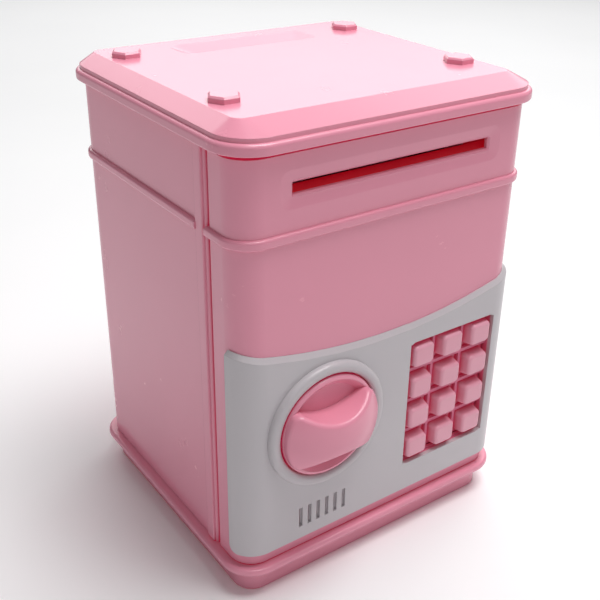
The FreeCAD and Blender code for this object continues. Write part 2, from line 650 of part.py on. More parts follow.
def door_openings():
    """Everything cut out of the door shell."""
    pin_hole = dim("pin_rad") + dim("run_gap")
    low, top = dim("door_z"), dim("door_top")
    front = -dim("body_d") / 2
    cuts = [rod_z(low - 1, low + 13, dim("hinge_x"), dim("hinge_y"), pin_hole),
            rod_z(top - 13, top + 1, dim("hinge_x"), dim("hinge_y"), pin_hole)]
    cuts += [rod_y(COVER_Y - 9, COVER_Y + 1, x, z, 1.45) for x, z in COVER_POSTS]
    cuts += [rod_y(-57.0, -53, x, z, 1.0) for x, z in BOARD_POSTS]
    cuts += [rod_y(-58.6, -55, x, z, 1.0) for x, z in FRAME_POSTS]
    cuts.append(rod_y(front - 1, -50, dim("dial_x"), dim("dial_z"), dim("shaft_rad") + dim("run_gap")))
    half_w, half_h = dim("tub_w") / 2 + 0.2, dim("tub_h") / 2 + 0.2
    cuts.append(block(dim("key_x") - half_w, dim("key_x") + half_w, front - 1, FRONT_Y + 1,
                      dim("key_z") - half_h, dim("key_z") + half_h))
    cuts.append(block(-dim("bill_w") / 2, dim("bill_w") / 2, front - 1, FRONT_Y + 1,
                      dim("bill_z") - dim("bill_t") / 2, dim("bill_z") + dim("bill_t") / 2))
    cuts += sloped_dish(front)
    cuts += [block(x - SLIT, x + SLIT, front - 1, FRONT_Y + 1, *SLIT_Z) for x in grille_spots()]
    return cuts


def grille_spots():
    """Centres of the six sound slots."""
    return [dim("dial_x") - 0.5 + 4.1 * (place - 2.5) for place in range(6)]


def sloped_dish(front):
    """Shallow soft recess round the banknote slot, and the chamfer of its mouth."""
    half_w, half_t = dim("bill_w") / 2, dim("bill_t") / 2
    bed = front + 0.55
    recess = [soft_loop(half_w + 5.4, half_t + 4.6, 4.0, front - 0.001),
              soft_loop(half_w + 1.2, half_t + 1.2, 1.5, bed)]
    mouth = [soft_loop(half_w + 0.7, half_t + 0.7, 0.8, bed - 0.001),
             soft_loop(half_w, half_t, 0.2, bed + 0.7)]
    return [Part.makeLoft(recess, True), Part.makeLoft(mouth, True)]


def soft_loop(half_w, half_h, radius, y):
    """Rounded rectangle standing across Y, centred on the banknote slot."""
    wide, high = half_w - radius, half_h - radius
    sides = ((1, 1), (-1, 1), (-1, -1), (1, -1))
    arcs = [arc_from(side_x * wide, side_z * high, radius, 90 * turn, 90 * turn + 90)
            for turn, (side_x, side_z) in enumerate(sides)]
    lines = [Part.LineSegment(arc.EndPoint, after.StartPoint) for arc, after in zip(arcs, arcs[1:] + arcs[:1])]
    wire = Part.Wire(Part.__sortEdges__([curve.toShape() for curve in arcs + lines]))
    wire.rotate(V(0, 0, 0), V(1, 0, 0), 90)
    wire.translate(V(0, y, dim("bill_z")))
    return wire


def build_face_panel():
    thick = dim("panel_t")
    side_y = dim("panel_side_y")
    panel = wrap(thick, 0, side_y + 4, side_y + 4, dim("panel_z"), 118.0)
    panel = panel.cut(block(-80, 80, side_y, side_y + 10, 0, 130))
    front = -dim("body_d") / 2
    skin = front - thick
    centre_z = dim("panel_dip") + dim("panel_arc")
    axis = (V(0, front - 20, centre_z), V(0, 1, 0))
    panel = panel.cut(Part.makeCylinder(dim("panel_arc"), 60, *axis))
    bevel = dim("panel_bevel")
    panel = panel.cut(bevel_tool(skin, bevel, centre_z))
    low_corners = [edge for edge in panel.Edges
                   if abs(edge.BoundBox.ZMax - dim("panel_z")) < 1e-3 and edge.BoundBox.YLength < 1e-3
                   and abs(edge.CenterOfMass.y - side_y) < 1e-3]
    panel = panel.makeFillet(4.0, low_corners)
    panel = panel.fuse([dial_ring(skin), key_tub(skin)])
    cuts = [rod_y(skin - 5, front + 5, dim("dial_x"), dim("dial_z"), dim("ring_in"))]
    cuts.append(tub_space(skin))
    for x, z in key_spots():
        half_w, half_h = calc("key_w/2 + key_gap"), calc("key_h/2 + key_gap")
        cuts.append(block(x - half_w, x + half_w, skin, front + 6, z - half_h, z + half_h))
    for x in grille_spots():
        cuts.append(block(x - 0.8, x + 0.8, skin - 1, skin + 1.1, SLIT_Z[0] - 0.5, SLIT_Z[1] + 0.5))
        cuts.append(block(x - SLIT, x + SLIT, skin - 1, front + 1, *SLIT_Z))
    return panel.cut(cuts).removeSplitter()


def bevel_tool(skin, bevel, centre_z):
    """Cutter that slopes the top edge of the panel all the way round the wrapped corners."""
    wide, thick = dim("body_w") / 2 + dim("panel_t"), dim("panel_t")
    rad = dim("corner_r") + thick
    steps = 12
    sections = []
    for place in range(steps + 1):
        turn = math.radians(180 + 90 * place / steps)
        sections.append((rad - wide + rad * math.cos(turn), skin + rad + rad * math.sin(turn), turn))
    spots = [(-wide, dim("panel_side_y") + 1.0, math.pi)] + sections
    spots += [(x, skin, 1.5 * math.pi) for x in (-40, -25, -10)]
    spots += [(-x, y, 3 * math.pi - turn) for x, y, turn in reversed(spots)]
    loops = []
    for x, y, turn in spots:
        along = V(math.cos(turn), math.sin(turn), 0)
        edge_z = centre_z - math.sqrt(dim("panel_arc") ** 2 - x * x)
        base = V(x, y, edge_z)
        corners = [base - V(0, 0, bevel), base + along * 1.0 - V(0, 0, bevel + 1.0),
                   base + along * 1.0 + V(0, 0, 2), base - along * bevel * 0.999 + V(0, 0, 2),
                   base - along * bevel * 0.999 - V(0, 0, 0)]
        loops.append(Part.makePolygon(corners + corners[:1]))
    return Part.makeLoft(loops, True, True)


def dial_ring(skin):
    """Half-round ring standing on the panel round the knob."""
    inner, outer, high = dim("ring_in"), dim("ring_out"), dim("ring_h")
    ring = rod_y(skin - high, skin + 0.5, dim("dial_x"), dim("dial_z"), outer)
    ring = ring.cut(rod_y(skin - high - 1, skin + 1, dim("dial_x"), dim("dial_z"), inner))
    return ring.makeFillet(1.9, [edge for edge in ring.Edges if at_depth(edge, skin - high)])


def key_tub(skin):
    """Floor and walls of the keypad recess, reaching through the window of the door."""
    half_w, half_h = dim("tub_w") / 2, dim("tub_h") / 2
    x, z = dim("key_x"), dim("key_z")
    return block(x - half_w, x + half_w, skin + 0.2, skin + dim("tub_deep") + 1.4, z - half_h, z + half_h)


def tub_space(skin):
    """Air space of the keypad recess, with sloping rounded sides."""
    half_w, half_h = dim("tub_w") / 2 - 0.9, dim("tub_h") / 2 - 0.9
    x, z = dim("key_x"), dim("key_z")
    space = block(x - half_w, x + half_w, skin - 1, skin + dim("tub_deep"), z - half_h, z + half_h)
    along = [edge for edge in space.Edges if abs(edge.tangentAt(edge.FirstParameter).y) > 0.99]
    return space.makeFillet(2.4, along)


def key_spots():
    """Centres of the twelve keys, row by row from the top left."""
    return [(dim("key_x") + column * dim("key_dx"), dim("key_z") + row * dim("key_dz"))
            for row in (1.5, 0.5, -0.5, -1.5) for column in (-1, 0, 1)]


KEY_NAMES = ("key_1", "key_2", "key_3", "key_4", "key_5", "key_6",
             "key_7", "key_8", "key_9", "key_star", "key_0", "key_hash")


def make_key(label, x, z):
    """Square key: a tall rounded cap on a retaining flange behind the recess floor."""
    body = new_body(label)
    rear = "body_d/2 - 3.0"
    sketch = plane_sketch(body, "XZ_Plane", rear)
    box_outline(sketch, f"{x} - key_w/2", f"{z} - key_h/2", f"{x} + key_w/2", f"{z} + key_h/2")
    pad(body, sketch, "3.0 + panel_t + 0.7", TaperAngle=-8.0)
    dress(body, "Fillet", lambda edge: abs(edge.tangentAt(edge.FirstParameter).y) > 0.9, "2.1")
    crown = -calc("body_d/2 + panel_t + 0.7")
    dress(body, "Fillet",
          lambda edge: edge.BoundBox.YLength < 1e-4 and abs(edge.CenterOfMass.y - crown) < 1e-3, "1.5")
    sketch = plane_sketch(body, "XZ_Plane", rear)
    box_outline(sketch, f"{x} - key_w/2 - key_flange", f"{z} - key_h/2 - key_flange",
                f"{x} + key_w/2 + key_flange", f"{z} + key_h/2 + key_flange")
    pad(body, sketch, "1.0", Reversed=True)


def make_keypad_mat():
    """Rubber sheet behind the keys with a dome under each."""
    body = new_body("keypad_mat")
    outline = ("key_x - tub_w/2 - 0.8", "key_z - tub_h/2 - 0.6",
               "key_x + tub_w/2 + 0.8", "key_z + tub_h/2 + 0.6")
    slab(body, "XZ_Plane", "board_back + board_t", [outline], "mat_t")
    discs(body, "XZ_Plane", "board_back + board_t + mat_t", key_spots(), "3.4", "0.3", TaperAngle=-69.0)


def make_circuit_board():
    """Board with its chips and capacitors on the rear face."""
    body = new_body("circuit_board")
    slab(body, "XZ_Plane", "board_back", [("8", "24", "58", "99")], "board_t")
    chips = (((24, 60, 38, 74), 1.8), ((44, 50, 52, 55), 1.5), ((14, 80, 20, 88), 2.5), ((12, 36, 18, 50), 3.2))
    for outline, height in chips:
        slab(body, "XZ_Plane", "board_back", [[str(edge) for edge in outline]], str(height), Reversed=True)
    discs(body, "XZ_Plane", "board_back", ((46, 84), (38, 84)), "3.2", "5", Reversed=True)
    discs(body, "XZ_Plane", "board_back + board_t", BOARD_POSTS, "1.1", "board_t", pocket)


def make_speaker():
    """Small loudspeaker: basket, yoke, magnet and the hollow of its cone."""
    body = new_body("speaker")
    spot = [("dial_x - 0.5", "31")]
    for offset, radius, length in (("55.0", "13", "2.3"), ("53.0", "10", "2.4"), ("49.4", "7", "3.8")):
        discs(body, "XZ_Plane", offset, spot, radius, length)
    discs(body, "XZ_Plane", "57.3", spot, "11", "2", pocket, TaperAngle=-71.0)


def make_back_cover():
    """Rear plate of the door with the walls of the battery bay."""
    body = new_body("door_back_cover")
    rear = "cover_front - cover_t"
    slab(body, "XZ_Plane", rear, [("-61.6", "17.6", "58", "157.4")], "cover_t")
    slab(body, "XZ_Plane", "cover_front", [("bay_left", "bay_low", "bay_right", "bay_high")], "bay_deep")
    inner = ("bay_left + bay_wall", "bay_low + bay_wall", "bay_right - bay_wall", "bay_high - bay_wall")
    through = "bay_deep + cover_t"
    slab(body, "XZ_Plane", "cover_front + bay_deep", [inner], through, pocket)
    discs(body, "XZ_Plane", "cover_front", [("dial_x", "dial_z")], "7", "cover_t", pocket)
    discs(body, "XZ_Plane", "cover_front", COVER_POSTS, str(SCREW_HOLE), "cover_t", pocket)
    vents = [(str(6 * place - 45.5), "24", str(6 * place - 43), "40") for place in range(5)]
    slab(body, "XZ_Plane", "cover_front", vents, "cover_t", pocket)


CELL_Z = (111.2, 125.7, 140.2)


def make_battery_cover():
    """Lift-off cover in the mouth of the battery bay, with four finger ribs."""
    body = new_body("battery_cover")
    edge = "(bay_wall + 0.2)"
    outline = (f"bay_left + {edge}", f"bay_low + {edge}", f"bay_right - {edge}", f"bay_high - {edge}")
    slab(body, "XZ_Plane", "40.6", [outline], "1.6")
    ribs = [(str(12 + 3 * place), "bay_high - 11", str(13.4 + 3 * place), "bay_high - 5") for place in range(4)]
    slab(body, "XZ_Plane", "40.0", ribs, "0.7")


def make_cell(label, z):
    body = new_body(label)
    spot = [("cell_y", z)]
    discs(body, "YZ_Plane", "cell_x", spot, "cell_rad - 0.05", "cell_len - 1.2")
    dress(body, "Fillet", flat_in_x, "0.7")
    discs(body, "YZ_Plane", "cell_x + cell_len - 1.3", spot, "2.7", "1.3")


def flat_in_x(edge):
    """Edge test: the edge lies in a plane across X."""
    return edge.BoundBox.XLength < 1e-3


def build_contacts():
    """Spring plate and button plate for each battery."""
    solids = []
    left, right = calc("bay_left + bay_wall"), calc("bay_right - bay_wall")
    y, reach, thick = dim("cell_y"), 5.0, 0.45
    for z in CELL_Z:
        plate = block(left + 0.05, left + 0.05 + thick, y - reach, y + reach, z - reach, z + reach)
        spring = Part.makeCone(4.5, 2.5, dim("cell_x") - left - 0.6, V(left + thick, y, z), V(1, 0, 0))
        solids.append(plate.fuse(spring))
        solids.append(block(right - 0.05 - thick, right - 0.05, y - reach, y + reach, z - reach, z + reach))
    return Part.makeCompound(solids)


def make_solenoid():
    """Square coil body with a wiring notch on top and the bore of the plunger."""
    body = new_body("solenoid_body")
    left = "dial_x + cam_rad + 6.5"
    outline = (left, "dial_z - coil_h/2", f"{left} + coil_w", "dial_z + coil_h/2")
    slab(body, "XZ_Plane", "43.8", [outline], "13.6")
    notch = (f"{left} + 1.2", "dial_z + coil_h/2 - 1.4", f"{left} + coil_w - 1.2", "dial_z + coil_h/2")
    slab(body, "XZ_Plane", "57.4", [notch], "13.6", pocket)
    mouth = f"{left} + coil_w - 2"
    discs(body, "YZ_Plane", mouth, [("slide_y", "dial_z")], "slide_rad + 0.1", "coil_w - 2", pocket)


def make_plunger():
    body = new_body("solenoid_plunger")
    tip = "dial_x + cam_rad + 0.6"
    spot = [("slide_y", "dial_z")]
    discs(body, "YZ_Plane", tip, spot, "slide_rad", "14")
    discs(body, "YZ_Plane", f"{tip} + 4.9", spot, "slide_rad + 1", "0.7")
    dress(body, "Chamfer", lambda edge: flat_in_x(edge) and abs(edge.CenterOfMass.x - calc(tip)) < 1e-3, "0.4")


# ---- knob and latch ------------------------------------------------------------------------

RIM_PROUD = 0.2
SHAFT_END = -49.4
SPIGOT_HALF = 3.0
SPIGOT_END = -45.8
CAM_Y = (-49.1, -45.0)
ARM_Y = (-37.2, -34.6)
ARM_HALF = 4.5
NOTCH_HALF = 2.4
NOTCH_DEEP = 4.2

def knob_waist(x_half, waist, end):
    """Radius and centre offset of the circle that hollows one side of the grip."""
    rise = end - waist
    radius = (x_half ** 2 + rise ** 2) / (2 * rise)
    return radius, waist + radius


def build_knob():
    """Dished disc with a domed, waisted grip, a round shaft and a square spigot for the lock disc."""
    x, z = dim("dial_x"), dim("dial_z")
    front = -dim("body_d") / 2
    rim_y = front - dim("panel_t") - dim("ring_h") - RIM_PROUD
    disc = rod_y(rim_y, front - 0.3, x, z, dim("dial_rad"))
    disc = disc.makeFillet(1.3, [edge for edge in disc.Edges if at_depth(edge, rim_y)])
    dish = Part.makeCone(dim("dial_rad") - 1.6, dim("dial_rad") - 4.4, 2.4, V(x, rim_y - 0.001, z), V(0, 1, 0))
    shaft = rod_y(front - 0.5, SHAFT_END, x, z, dim("shaft_rad"))
    half = SPIGOT_HALF
    spigot = block(x - half, x + half, SHAFT_END - 0.2, SPIGOT_END, z - half, z + half)
    hole = rod_y(-56, -45, x, z, 1.45)
    return disc.cut(dish).fuse([knob_grip(x, z, rim_y), shaft, spigot]).cut(hole).removeSplitter()


def knob_grip(x, z, rim_y):
    """Domed disc hollowed from above and below, with soft edges."""
    crest_y = rim_y - dim("grip_h")
    rear_y = rim_y + 3.0
    grip = rod_y(crest_y, rear_y, x, z, dim("dial_rad") - 0.3)
    grip = grip.common(Part.makeSphere(dim("dome_r"), V(x, crest_y + dim("dome_r"), z)))
    half_x = math.sqrt(dim("dial_rad") ** 2 - dim("grip_end") ** 2)
    radius, offset = knob_waist(half_x, dim("grip_mid"), dim("grip_end"))
    grip = grip.cut([rod_y(crest_y - 1, rear_y + 1, x, z + side * offset, radius) for side in (-1, 1)])
    horns = [edge for edge in grip.Edges
             if abs(edge.tangentAt(edge.FirstParameter).y) > 0.99 and abs(edge.CenterOfMass.x - x) > 5]
    grip = grip.makeFillet(dim("horn_r"), horns)
    return grip.makeFillet(dim("crest_r"), [edge for edge in grip.Edges if edge.BoundBox.YMax < rim_y - 0.5])


def at_depth(edge, y):
    """Edge test: the edge lies in a plane across Y at one depth."""
    return edge.BoundBox.YLength < 1e-3 and abs(edge.CenterOfMass.y - y) < 1e-3


def build_latch():
    """Lock disc with two notches, a hub and the latch arm behind the door cover."""
    x, z = dim("dial_x"), dim("dial_z")
    rad, tip_z = dim("cam_rad"), dim("dial_z") + dim("arm_reach") - ARM_HALF
    disc = rod_y(*CAM_Y, x, z, rad)
    front, back = CAM_Y[0] - 1, CAM_Y[1] + 1
    deep = rad - NOTCH_DEEP
    notches = [block(x + deep, x + rad + 1, front, back, z - NOTCH_HALF, z + NOTCH_HALF),
               block(x - NOTCH_HALF, x + NOTCH_HALF, front, back, z - rad - 1, z - deep)]
    hub = rod_y(CAM_Y[1], ARM_Y[1], x, z, 6.0)
    arm = block(x - ARM_HALF, x + ARM_HALF, *ARM_Y, z, tip_z)
    arm = arm.fuse(rod_y(*ARM_Y, x, tip_z, ARM_HALF))
    latch = disc.fuse([hub, arm]).cut(notches)
    half = SPIGOT_HALF + 0.05
    bores = [block(x - half, x + half, front, SPIGOT_END + 0.2, z - half, z + half),
             rod_y(CAM_Y[1] - 1, CAM_Y[1] + 1, x, z, 1.6), rod_y(CAM_Y[1] + 0.6, ARM_Y[1] + 0.6, x, z, 3.4)]
    return latch.cut(bores).removeSplitter()


def build_latch_screw():
    x, z = dim("dial_x"), dim("dial_z")
    return Part.makeCompound([screw((x, -53.0, z), (0, 1, 0), 8.6, 2.9, 1.42)])


# ---- note feed -----------------------------------------------------------------------------

GEAR_X = {"outer": (-52.5, -49.5), "inner": (-49.1, -46.6)}
PLATE_X = (-46.2, -44.2)
TEETH = {"feed": 24, "wheel": 24, "small": 12, "motor": 10}
BACKLASH = 0.12
PRESSURE = math.radians(20)
FEED_Z = "bill_z - nip_gap/2 - feed_rad"
PINCH_Z = "bill_z + nip_gap/2 + pinch_rad"
TYRE_X = (-22.0, 22.0)


def axis_heights():
    """Heights of the feed, intermediate and motor axes, top to bottom."""
    module = dim("gear_module")
    feed_z = calc(FEED_Z)
    middle_z = feed_z - module * (TEETH["feed"] + TEETH["small"]) / 2
    motor_z = middle_z - module * (TEETH["wheel"] + TEETH["motor"]) / 2
    return feed_z, middle_z, motor_z


def involute(angle):
    return math.tan(angle) - angle


def tooth_half(radius, pitch_rad, teeth):
    """Half angle of an involute tooth at a radius."""
    base_rad = pitch_rad * math.cos(PRESSURE)
    at_pitch = math.pi / (2 * teeth) - BACKLASH / (2 * pitch_rad)
    lean = involute(math.acos(min(1.0, base_rad / max(radius, base_rad))))
    return at_pitch + involute(PRESSURE) - lean


def spur_gear(teeth, x_pair, z, turn=0.0):
    """Straight toothed wheel about an X axis at the feed depth; turn is a share of one tooth."""
    module = dim("gear_module")
    pitch_rad = module * teeth / 2
    root, tip = pitch_rad - 1.2 * module, pitch_rad + 0.85 * module
    rising = (root, pitch_rad - 0.3 * module, pitch_rad, pitch_rad + 0.45 * module, tip)
    flank = [(-tooth_half(radius, pitch_rad, teeth), radius) for radius in rising]
    flank += [(-angle, radius) for angle, radius in reversed(flank)]
    spots = []
    for tooth in range(teeth):
        middle = (tooth + turn) * 2 * math.pi / teeth
        for angle, radius in flank:
            spots.append(V(x_pair[0], dim("feed_y") + radius * math.sin(middle + angle),
                           z + radius * math.cos(middle + angle)))
    outline = Part.makePolygon(spots + spots[:1])
    return Part.Face(outline).extrude(V(x_pair[1] - x_pair[0], 0, 0))


def build_feed_gear():
    feed_z = axis_heights()[0]
    gear = spur_gear(TEETH["feed"], GEAR_X["inner"], feed_z)
    return gear.cut(rod_x(-60, -40, dim("feed_y"), feed_z, dim("axle_rad")))


def build_middle_gear():
    middle_z = axis_heights()[1]
    wheel = spur_gear(TEETH["wheel"], GEAR_X["outer"], middle_z)
    small = spur_gear(TEETH["small"], (GEAR_X["outer"][1] - 0.1, GEAR_X["inner"][1]), middle_z, 0.5)
    return wheel.fuse(small).cut(rod_x(-60, -40, dim("feed_y"), middle_z, 1.0 + dim("run_gap")))


def build_motor_gear():
    motor_z = axis_heights()[2]
    gear = spur_gear(TEETH["motor"], GEAR_X["outer"], motor_z, 0.5)
    return gear.fuse(rod_x(GEAR_X["outer"][0], -43.0, dim("feed_y"), motor_z, 1.0))


def make_feed_shaft():
    discs(new_body("feed_shaft"), "YZ_Plane", "-49.1", [("feed_y", FEED_Z)], "axle_rad", "98.1")


def build_feed_rubbers():
    y, feed_z = dim("feed_y"), axis_heights()[0]
    tyres = []
    for middle in TYRE_X:
        tyre = rod_x(middle - 6, middle + 6, y, feed_z, dim("feed_rad"))
        tyre = tyre.makeFillet(0.6, [edge for edge in tyre.Edges if flat_in_x(edge)])
        tyres.append(tyre.cut(rod_x(middle - 7, middle + 7, y, feed_z, dim("axle_rad"))))
    return Part.makeCompound(tyres)


def make_pinch_roller():
    body = new_body("pinch_roller")
    spot = [("feed_y", PINCH_Z)]
    discs(body, "YZ_Plane", "-48", spot, "1", "96")
    for middle in TYRE_X:
        discs(body, "YZ_Plane", str(middle - 5), spot, "pinch_rad", "10")


def build_feed_frame():
    """Two side plates joined by a lower guide with a note shelf; bearing holes and the motor seat."""
    feed_z, middle_z, motor_z = axis_heights()
    y, front, back = dim("feed_y"), FRAME_FRONT, -43.7
    foot, crown = 152.5, 171.4
    right_x = (46.5, 48.5)
    shelf_z = calc("bill_z - bill_t/2 - 0.3")
    left = block(*PLATE_X, front, back, motor_z - 6.5, crown)
    right = block(*right_x, front, back, foot, crown)
    guide = block(PLATE_X[0], right_x[1], front, front + 1, foot, shelf_z)
    ramp = note_ramp(PLATE_X[0], right_x[1], shelf_z)
    axle = rod_x(-53.2, PLATE_X[0] + 0.5, y, middle_z, 1.0)
    frame = left.fuse([right, guide, ramp, axle])
    gap = dim("run_gap")
    cuts = [rod_x(-55, 55, y, feed_z, dim("axle_rad") + gap), rod_x(-55, 55, y, calc(PINCH_Z), 1.0 + gap),
            rod_x(-48, -40, y, motor_z, 3.2)]
    cuts += [rod_y(-57, -54, x, z, 1.1) for x, z in FRAME_POSTS]
    return frame.cut(cuts).removeSplitter()


def note_ramp(x_a, x_b, z):
    """Shelf behind the slot, rising towards the nip of the rollers."""
    front, back = FRONT_Y + 0.1, dim("feed_y") - dim("feed_rad") - 0.1
    spots = ((front, z - 1), (front, z), (back - 0.1, dim("bill_z") - 0.2), (back, dim("bill_z") - 0.2),
             (back, z - 1))
    corners = [V(x_a, y, height) for y, height in spots]
    return Part.Face(Part.makePolygon(corners + corners[:1])).extrude(V(x_b - x_a, 0, 0))


def build_feed_motor():
    motor_z = axis_heights()[2]
    can = rod_x(PLATE_X[1], -20.0, dim("feed_y"), motor_z, 6.4)
    flats = block(-60, -10, -60, -40, motor_z - 5.5, motor_z + 5.5)
    can = can.common(flats)
    nose = rod_x(PLATE_X[0] + 0.2, PLATE_X[1] + 1, dim("feed_y"), motor_z, 3.0)
    terminals = [block(-20.5, -18.0, dim("feed_y") - 4, dim("feed_y") - 3.5, motor_z - 1, motor_z + 1),
                 block(-20.5, -18.0, dim("feed_y") + 3.5, dim("feed_y") + 4, motor_z - 1, motor_z + 1)]
    motor = can.fuse([nose] + terminals)
    return motor.cut(rod_x(-50, -42.5, dim("feed_y"), motor_z, 1.0 + dim("run_gap")))


def make_door_screws():
    add_shape("back_cover_screws", lambda: Part.makeCompound(
        [screw((x, COVER_Y - 8.0, z), (0, 1, 0), 10.0, 2.6, 1.4) for x, z in COVER_POSTS]))
    add_shape("board_screws", lambda: Part.makeCompound(
        [screw((x, -56.8, z), (0, 1, 0), 5.1, 2.0, 0.95) for x, z in BOARD_POSTS]))
    add_shape("feed_frame_screws", lambda: Part.makeCompound(
        [screw((x, -58.3, z), (0, 1, 0), 3.1, 2.0, 0.95) for x, z in FRAME_POSTS]))


def make_all():
    make_base()
    make_rear_shell()
    make_roof_cap()
    make_hinge_pins()
    make_cabinet_screws()
    add_shape("door_shell", build_door_shell)
    add_shape("face_panel", build_face_panel)
    for label, (x, z) in zip(KEY_NAMES, key_spots()):
        make_key(label, x, z)
    make_keypad_mat()
    make_circuit_board()
    make_speaker()
    make_back_cover()
    make_battery_cover()
    for place, z in enumerate(CELL_Z, start=1):
        make_cell(f"battery_{place}", z)
    add_shape("battery_contacts", build_contacts)
    make_solenoid()
    make_plunger()
    add_shape("knob", build_knob)
    add_shape("latch_cam", build_latch)
    add_shape("latch_screw", build_latch_screw)
    add_shape("feed_gear", build_feed_gear)
    add_shape("middle_gear", build_middle_gear)
    add_shape("motor_gear", build_motor_gear)
    make_feed_shaft()
    add_shape("feed_rubbers", build_feed_rubbers)
    make_pinch_roller()
    add_shape("feed_frame", build_feed_frame)
    add_shape("feed_motor", build_feed_motor)
    make_door_screws()


def write_all():
    """Check every object and write one STEP file for each sub-part."""
    doc.recompute()
    bad = [item.Name for item in doc.Objects if "Invalid" in item.State or "Error" in item.State]
    if bad:
        raise RuntimeError(f"objects in error: {bad}")
    os.makedirs("parts", exist_ok=True)
    for item in nodes:
        shape = item.Shape
        if shape.isNull() or not shape.isValid():
            raise RuntimeError(f"{item.Label} has no sound shape")
        shape.exportStep(f"parts/{item.Label}.step")
    print(len(nodes), "sub-parts written")


make_all()
write_all()
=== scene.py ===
# Looks for the toy safe coin bank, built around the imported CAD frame.
# Metres, +Z up, front towards -Y. Colours are linear. Noise scales are features per metre.
import json
import math

import bmesh
import bpy
from mathutils import Matrix, Vector


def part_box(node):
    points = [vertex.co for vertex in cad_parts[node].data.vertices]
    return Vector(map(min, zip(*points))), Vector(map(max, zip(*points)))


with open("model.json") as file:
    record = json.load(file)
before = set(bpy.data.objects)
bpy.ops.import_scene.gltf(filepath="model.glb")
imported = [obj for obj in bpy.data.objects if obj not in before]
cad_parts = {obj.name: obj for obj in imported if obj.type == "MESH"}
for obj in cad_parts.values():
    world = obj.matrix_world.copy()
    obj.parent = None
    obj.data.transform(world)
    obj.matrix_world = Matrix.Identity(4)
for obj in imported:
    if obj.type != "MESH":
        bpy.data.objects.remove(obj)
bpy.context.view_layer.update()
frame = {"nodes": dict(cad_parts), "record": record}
nodes = frame["nodes"]

# ---- colours ---------------------------------------------------------------------------------

PINK = (0.85, 0.318, 0.428)
KEY_PINK = (0.83, 0.37, 0.47)
PAINTED_GAP_SHADE = (0.62, 0.02, 0.085)           # painted gap shade and glow: deep crimson painted into the narrow gaps of the pink plastic and emitted there
# painted shade and glow: the deep red seen inside the note slot, put on the guide and pinch roller, which
# also emit it
PAINTED_SLOT_RED = (0.66, 0.004, 0.018)
PANEL = (0.58, 0.54, 0.565)
PAINTED_KEY_GAP_LIGHT = (0.74, 0.17, 0.29)          # painted shade and pink bounce light on the panel between the keys
GEAR_WHITE = (0.75, 0.74, 0.69)
FRAME_BLACK = (0.018, 0.018, 0.02)
SLEEVE = (0.03, 0.16, 0.09)
STEEL = (0.62, 0.63, 0.66)
NICKEL = (0.75, 0.72, 0.66)
MAT_GREY = (0.45, 0.44, 0.43)
ROLLER_BLACK = (0.012, 0.012, 0.013)
BOARD_DARK = (0.010, 0.10, 0.045)
BOARD_LIGHT = (0.014, 0.13, 0.055)
BOARD_RUN = (0.05, 0.26, 0.10)       # copper seen through the lacquer
FLOOR_DARK = (0.93, 0.93, 0.935)
FLOOR_LIGHT = (0.96, 0.96, 0.965)
BLACK = (0, 0, 0)
WHITE = (1, 1, 1)

# ---- plastic ---------------------------------------------------------------------------------

EDGE = 0.00035                       # radius that sharp edges are shaded with
EDGE_SAMPLES = 4
GAP_REACH = 0.006                    # how far away a facing wall still closes a gap
GAP_SAMPLES = 8
GAP_SHUT, GAP_OPEN = 0.16, 0.5       # share of open sky where a gap counts as shut and as open
PAINTED_GAP_GLOW = 0.22                      # painted glow: emission strength of the plastic in a shut gap
PAINTED_GUIDE_GLOW = 0.18                    # painted glow left on the open faces of the note guide

DRIFT_SCALE = 18.0
DRIFT_TINTS = (0.985, 1.01)
MARKS_SCALE = 70.0
MARKS_ROUGH = (0.9, 1.12)            # shares of the plastic's own roughness
RIPPLE_SCALE = 95.0
PEEL_SCALE = 1400.0
RIPPLE_DEPTH = 0.00005
PEEL_DEPTH = 0.00001
COAT_ROUGH = 0.1
PLASTIC_IOR = 1.5

KEY_GAP_LIGHT_START, KEY_GAP_LIGHT_FULL = 0.0022, 0.0030    # depths behind the key faces where the painted shade and pink light between the keys begin and are full
KEY_GAP_LIGHT_EDGE = 0.002                         # how far that painted shade and light fade out beside the outer keys

# ---- metal, rubber and circuit board ---------------------------------------------------------

CLOUD_SCALE = 160.0
CLOUD_TINT = 0.86
STREAK_SCALE = 220.0
STREAK_STRETCH = (1.0, 30.0, 1.0)
STREAK_ROUGH = (0.7, 1.4)            # shares of the metal's own roughness
STREAK_DEPTH = 0.00003

DUST_SCALE = 300.0
DUST_TINT = 1.5
RUBBER_ROUGH = (0.6, 0.85)
RUBBER_SCALE = 1600.0
RUBBER_BUMP = 0.3
RUBBER_DEPTH = 0.00004

RUNS_SCALE = 160.0
RUNS_WIDTH = 0.04
RUNS_BUMP = 0.3
RUNS_DEPTH = 0.00005
LACQUER_SCALE = 500.0
LACQUER_ROUGH = (0.25, 0.45)

# ---- stage -----------------------------------------------------------------------------------

FLOOR_HALF = 3.0
FLOOR_DROP = 0.0002                  # keeps the floor clear of the underside of the base
FLOOR_ROUGH = 0.85
FLOOR_SCALE = 3.0
WORLD_STRENGTH = 0.2
BANK_MIDDLE = (0, 0, 0.1)            # where the lights are aimed
BANK_UPPER = (0, 0, 0.15)

CAMERA_PLACE = (-0.20027, -0.28592, 0.26949)
CAMERA_ANGLES = (-36.29, -26.91, 1.32)    # degrees: left of +Y, above level, roll
CAMERA_SENSOR = 36.0                      # millimetres, as the focal length
CAMERA_LENS = 55.19
CAMERA_SHIFT = (-0.0258, -0.0230)
CAMERA_NEAREST = 0.01

# ---- materials -------------------------------------------------------------------------------

# The Mix node has one set of sockets for each kind of value. These are its colour sockets.
MIX_LOW, MIX_HIGH, MIX_RESULT = 6, 7, 2


